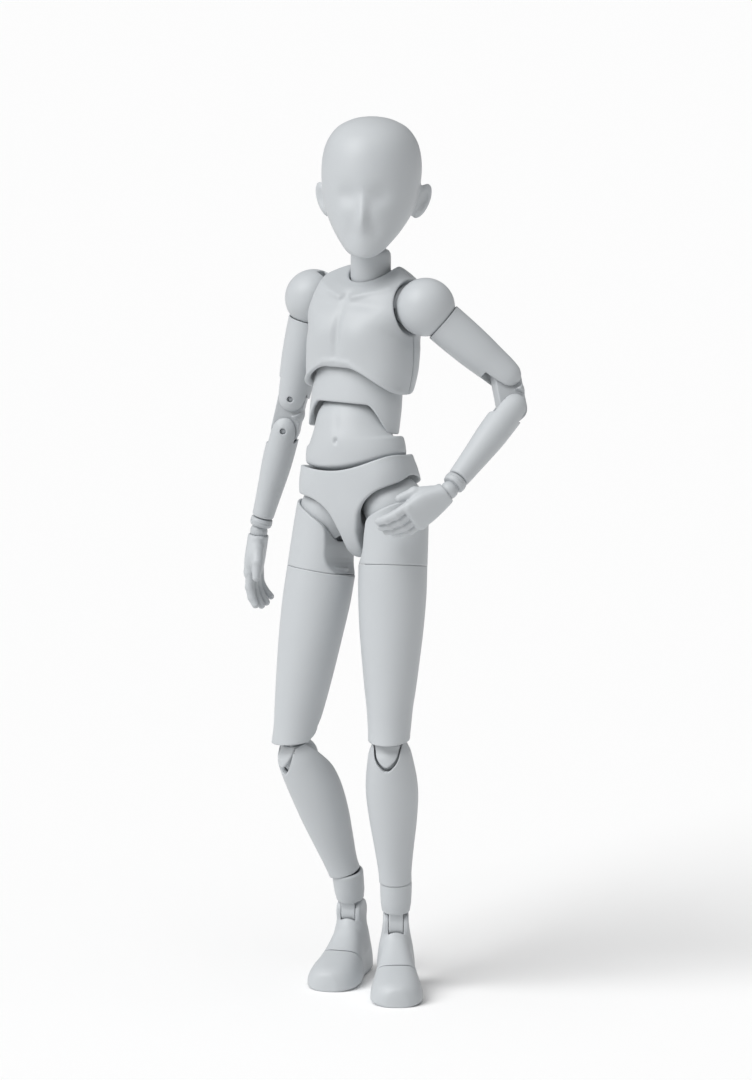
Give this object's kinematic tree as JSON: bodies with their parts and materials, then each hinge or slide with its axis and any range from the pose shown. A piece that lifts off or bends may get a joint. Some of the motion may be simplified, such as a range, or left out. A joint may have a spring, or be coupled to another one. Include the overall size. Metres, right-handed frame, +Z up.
{
  "type": "posable figure",
  "caption": "Bald, unclothed human figure in plain grey plastic with ball and hinge joints, for posing; it stands with one hand on its hip.",
  "frame": {"origin": "on the floor under the middle of the figure's box, in the pose of the picture", "axes": "+Z up, -Y the way the pelvis faces, +X towards the figure's left"},
  "size_m": [0.0476, 0.0256, 0.1328],
  "materials": {
    "shell": "satin",
    "inner": "satin",
    "pin": "satin"
  },
  "bodies": {
    "pelvis": {"hip_axle": "pin", "pelvis": "shell"},
    "waist_ball": {"waist_ball": "inner"},
    "belly": {"belly": "shell"},
    "spine_ball": {"spine_ball": "inner"},
    "mid_torso": {"mid_torso": "shell"},
    "chest_ball": {"chest_ball": "inner"},
    "chest": {"chest_back": "shell", "chest_front": "shell"},
    "neck": {"neck": "shell"},
    "head_joint": {"head_joint": "inner"},
    "head": {"head": "shell"},
    "shoulder_hub_left": {"shoulder_hub_left": "inner"},
    "shoulder_hub_right": {"shoulder_hub_right": "inner"},
    "deltoid_left": {"deltoid_left": "shell"},
    "deltoid_right": {"deltoid_right": "shell"},
    "elbow_block_left": {"elbow_block_left": "inner"},
    "elbow_block_right": {"elbow_block_right": "inner"},
    "hip_ball_left": {"hip_ball_left": "shell", "hip_pin_left": "pin"},
    "hip_ball_right": {"hip_ball_right": "shell", "hip_pin_right": "pin"},
    "thigh_top_left": {"thigh_top_left": "shell"},
    "thigh_top_right": {"thigh_top_right": "shell"},
    "knee_block_left": {"knee_block_left": "shell"},
    "knee_block_right": {"knee_block_right": "shell"},
    "shin_left": {"knee_lower_pin_left": "pin", "shin_left": "shell"},
    "shin_right": {"knee_lower_pin_right": "pin", "shin_right": "shell"},
    "foot_left": {"ankle_pin_left": "pin", "foot_left": "shell"},
    "foot_right": {"ankle_pin_right": "pin", "foot_right": "shell"},
    "upper_arm_left": {"elbow_upper_pin_left": "pin", "upper_arm_left": "shell"},
    "upper_arm_right": {"elbow_upper_pin_right": "pin", "upper_arm_right": "shell"},
    "forearm_left": {"elbow_lower_pin_left": "pin", "forearm_left": "shell"},
    "forearm_right": {"elbow_lower_pin_right": "pin", "forearm_right": "shell"},
    "hand_left": {"hand_left": "shell"},
    "hand_right": {"hand_right": "shell"},
    "thigh_left": {"knee_upper_pin_left": "pin", "thigh_left": "shell"},
    "thigh_right": {"knee_upper_pin_right": "pin", "thigh_right": "shell"},
    "toe_left": {"toe_left": "shell", "toe_pin_left": "pin"},
    "toe_right": {"toe_pin_right": "pin", "toe_right": "shell"},
    "ankle_post_left": {"ankle_post_left": "inner"},
    "ankle_post_right": {"ankle_post_right": "inner"},
    "ankle_cuff_left": {"ankle_cuff_left": "shell"},
    "ankle_cuff_right": {"ankle_cuff_right": "shell"},
    "wrist_joint_left": {"wrist_joint_left": "inner"},
    "wrist_joint_right": {"wrist_joint_right": "inner"}
  },
  "joints": [
    {"name": "waist_turn", "type": "hinge", "parent": "pelvis", "child": "waist_ball", "pos_m": [-0.00129, -0.00013, 0.08058], "axis": [-0.1527, 0.0628, 0.9863], "range_deg": [-20, 20]},
    {"name": "waist_bend", "type": "hinge", "parent": "waist_ball", "child": "belly", "pos_m": [-0.00129, -0.00013, 0.08058], "axis": [0.9882, 0, 0.153], "range_deg": [-2, 5]},
    {"name": "spine_tilt", "type": "hinge", "parent": "belly", "child": "spine_ball", "pos_m": [-0.00215, 0.00047, 0.08609], "axis": [0.0136, 0.996, -0.0878], "range_deg": [-15, 1]},
    {"name": "spine_bend", "type": "hinge", "parent": "spine_ball", "child": "mid_torso", "pos_m": [-0.00215, 0.00047, 0.08609], "axis": [0.9994, -0.0162, -0.029], "range_deg": [-3.5, 6]},
    {"name": "chest_turn", "type": "hinge", "parent": "mid_torso", "child": "chest_ball", "pos_m": [-0.0018, 0.00221, 0.09704], "axis": [0.0311, 0.1567, 0.9872], "range_deg": [-10, 15]},
    {"name": "chest_bend", "type": "hinge", "parent": "chest_ball", "child": "chest", "pos_m": [-0.0018, 0.00221, 0.09704], "axis": [-0.9881, 0.1535, 0.0068], "range_deg": [-3, 4.5]},
    {"name": "neck_lean", "type": "hinge", "parent": "chest", "child": "neck", "pos_m": [-0.00147, 0.00388, 0.10731], "axis": [0.9881, -0.1535, -0.0068], "range_deg": [-12, 4]},
    {"name": "head_turn", "type": "hinge", "parent": "neck", "child": "head_joint", "pos_m": [-0.00141, 0.00389, 0.11531], "axis": [0.0072, 0.0021, 1], "range_deg": [-60, 60]},
    {"name": "head_nod", "type": "hinge", "parent": "head_joint", "child": "head", "pos_m": [-0.00141, 0.00389, 0.11531], "axis": [0.9325, 0.3612, -0.0075], "range_deg": [-25, 18]},
    {"name": "shoulder_swing_left", "type": "hinge", "parent": "chest", "child": "shoulder_hub_left", "pos_m": [0.00913, 0.00189, 0.10456], "axis": [-0.9881, 0.1535, 0.0068], "range_deg": [-3, 60]},
    {"name": "shoulder_swing_right", "type": "hinge", "parent": "chest", "child": "shoulder_hub_right", "pos_m": [-0.01221, 0.0052, 0.10471], "axis": [0.9881, -0.1535, -0.0068], "range_deg": [-60, 45]},
    {"name": "shoulder_raise_left", "type": "hinge", "parent": "shoulder_hub_left", "child": "deltoid_left", "pos_m": [0.00913, 0.00189, 0.10456], "axis": [0.1298, 0.8107, 0.5709], "range_deg": [-20, 9]},
    {"name": "shoulder_raise_right", "type": "hinge", "parent": "shoulder_hub_right", "child": "deltoid_right", "pos_m": [-0.01221, 0.0052, 0.10471], "axis": [0.153, 0.9871, -0.0468], "range_deg": [-0.5, 45]},
    {"name": "elbow_upper_left", "type": "hinge", "parent": "upper_arm_left", "child": "elbow_block_left", "pos_m": [0.01977, 0.00743, 0.09427], "axis": [0.69, -0.6149, 0.3819], "range_deg": [-42, 41]},
    {"name": "elbow_upper_right", "type": "hinge", "parent": "upper_arm_right", "child": "elbow_block_right", "pos_m": [-0.01581, 0.00503, 0.08932], "axis": [0.3164, -0.9465, -0.0633], "range_deg": [-80, 1]},
    {"name": "hip_swing_left", "type": "hinge", "parent": "pelvis", "child": "hip_ball_left", "pos_m": [0.00529, -0.00086, 0.07465], "axis": [0.9882, 0, 0.153], "range_deg": [-20, 30]},
    {"name": "hip_swing_right", "type": "hinge", "parent": "pelvis", "child": "hip_ball_right", "pos_m": [-0.00578, -0.00086, 0.07294], "axis": [0.9882, 0, 0.153], "range_deg": [-30, 30]},
    {"name": "hip_spread_left", "type": "hinge", "parent": "hip_ball_left", "child": "thigh_top_left", "pos_m": [0.00529, -0.00086, 0.07465], "axis": [0.0223, 0.9893, -0.1444], "range_deg": [-40, 0.5]},
    {"name": "hip_spread_right", "type": "hinge", "parent": "hip_ball_right", "child": "thigh_top_right", "pos_m": [-0.00578, -0.00086, 0.07294], "axis": [0.0234, 0.9882, -0.1512], "range_deg": [-1, 28]},
    {"name": "knee_upper_left", "type": "hinge", "parent": "thigh_left", "child": "knee_block_left", "pos_m": [0.007, -0.00525, 0.04219], "axis": [0.9456, 0.3252, 0.0057], "range_deg": [-8, 60]},
    {"name": "knee_upper_right", "type": "hinge", "parent": "thigh_right", "child": "knee_block_right", "pos_m": [-0.00891, -0.00537, 0.0406], "axis": [0.8837, -0.4676, -0.0204], "range_deg": [-14, 3]},
    {"name": "knee_lower_left", "type": "hinge", "parent": "knee_block_left", "child": "shin_left", "pos_m": [0.00704, -0.00528, 0.03719], "axis": [0.9456, 0.3252, 0.0057], "range_deg": [-10, 60]},
    {"name": "knee_lower_right", "type": "hinge", "parent": "knee_block_right", "child": "shin_right", "pos_m": [-0.00883, -0.00499, 0.03562], "axis": [0.8837, -0.4676, -0.0204], "range_deg": [-17, 3.5]},
    {"name": "foot_pitch_left", "type": "hinge", "parent": "ankle_cuff_left", "child": "foot_left", "pos_m": [0.00529, -0.00029, 0.01], "axis": [0.866, 0.5, 0], "range_deg": [-40, 40]},
    {"name": "foot_pitch_right", "type": "hinge", "parent": "ankle_cuff_right", "child": "foot_right", "pos_m": [-0.00529, 0.00463, 0.01], "axis": [0.9781, 0.2079, 0], "range_deg": [-40, 40]},
    {"name": "arm_turn_left", "type": "hinge", "parent": "deltoid_left", "child": "upper_arm_left", "pos_m": [0.00913, 0.00189, 0.10456], "axis": [0.6731, 0.3508, -0.6511], "range_deg": [-60, 2.5]},
    {"name": "arm_turn_right", "type": "hinge", "parent": "deltoid_right", "child": "upper_arm_right", "pos_m": [-0.01221, 0.0052, 0.10471], "axis": [0.2274, 0.0109, 0.9737], "range_deg": [-60, 60]},
    {"name": "elbow_lower_left", "type": "hinge", "parent": "elbow_block_left", "child": "forearm_left", "pos_m": [0.02144, 0.00633, 0.08947], "axis": [0.69, -0.6149, 0.3819], "range_deg": [-42, 46]},
    {"name": "elbow_lower_right", "type": "hinge", "parent": "elbow_block_right", "child": "forearm_right", "pos_m": [-0.01707, 0.00494, 0.08428], "axis": [0.3164, -0.9465, -0.0633], "range_deg": [-80, 2]},
    {"name": "wrist_bend_left", "type": "hinge", "parent": "wrist_joint_left", "child": "hand_left", "pos_m": [0.01716, -0.00543, 0.07827], "axis": [0.1925, 0.6394, -0.7444], "range_deg": [-45, 10]},
    {"name": "wrist_bend_right", "type": "hinge", "parent": "wrist_joint_right", "child": "hand_right", "pos_m": [-0.0217, 0.00448, 0.06814], "axis": [-0.154, 0.988, 0.0155], "range_deg": [-45, 45]},
    {"name": "thigh_turn_left", "type": "hinge", "parent": "thigh_top_left", "child": "thigh_left", "pos_m": [0.00529, -0.00086, 0.07465], "axis": [-0.0559, 0.1454, 0.9878], "range_deg": [-45, 6]},
    {"name": "thigh_turn_right", "type": "hinge", "parent": "thigh_top_right", "child": "thigh_right", "pos_m": [-0.00578, -0.00086, 0.07294], "axis": [0.1011, 0.1481, 0.9838], "range_deg": [-9, 45]},
    {"name": "toe_bend_left", "type": "hinge", "parent": "foot_left", "child": "toe_left", "pos_m": [0.00904, -0.00679, 0.0026], "axis": [0.866, 0.5, 0], "range_deg": [-38, 0]},
    {"name": "toe_bend_right", "type": "hinge", "parent": "foot_right", "child": "toe_right", "pos_m": [-0.00373, -0.00271, 0.0026], "axis": [0.9781, 0.2079, 0], "range_deg": [-38, 0]},
    {"name": "ankle_turn_left", "type": "hinge", "parent": "shin_left", "child": "ankle_post_left", "pos_m": [0.0057, -0.001, 0.01473], "axis": [0.0514, -0.1667, 0.9847], "range_deg": [-25, 45]},
    {"name": "ankle_turn_right", "type": "hinge", "parent": "shin_right", "child": "ankle_post_right", "pos_m": [-0.00498, 0.00319, 0.01457], "axis": [-0.1582, -0.3394, 0.9272], "range_deg": [-45, 9]},
    {"name": "ankle_tilt_left", "type": "hinge", "parent": "ankle_post_left", "child": "ankle_cuff_left", "pos_m": [0.0057, -0.001, 0.01473], "axis": [-0.4927, 0.8534, 0.1702], "range_deg": [-25, 7]},
    {"name": "ankle_tilt_right", "type": "hinge", "parent": "ankle_post_right", "child": "ankle_cuff_right", "pos_m": [-0.00498, 0.00319, 0.01457], "axis": [-0.1979, 0.9309, 0.307], "range_deg": [-7, 13]},
    {"name": "wrist_turn_left", "type": "hinge", "parent": "forearm_left", "child": "wrist_joint_left", "pos_m": [0.01716, -0.00543, 0.07827], "axis": [0.2546, 0.7001, 0.6671], "range_deg": [-60, 60]},
    {"name": "wrist_turn_right", "type": "hinge", "parent": "forearm_right", "child": "wrist_joint_right", "pos_m": [-0.0217, 0.00448, 0.06814], "axis": [0.2753, 0.0278, 0.9609], "range_deg": [-60, 60]}
  ]
}
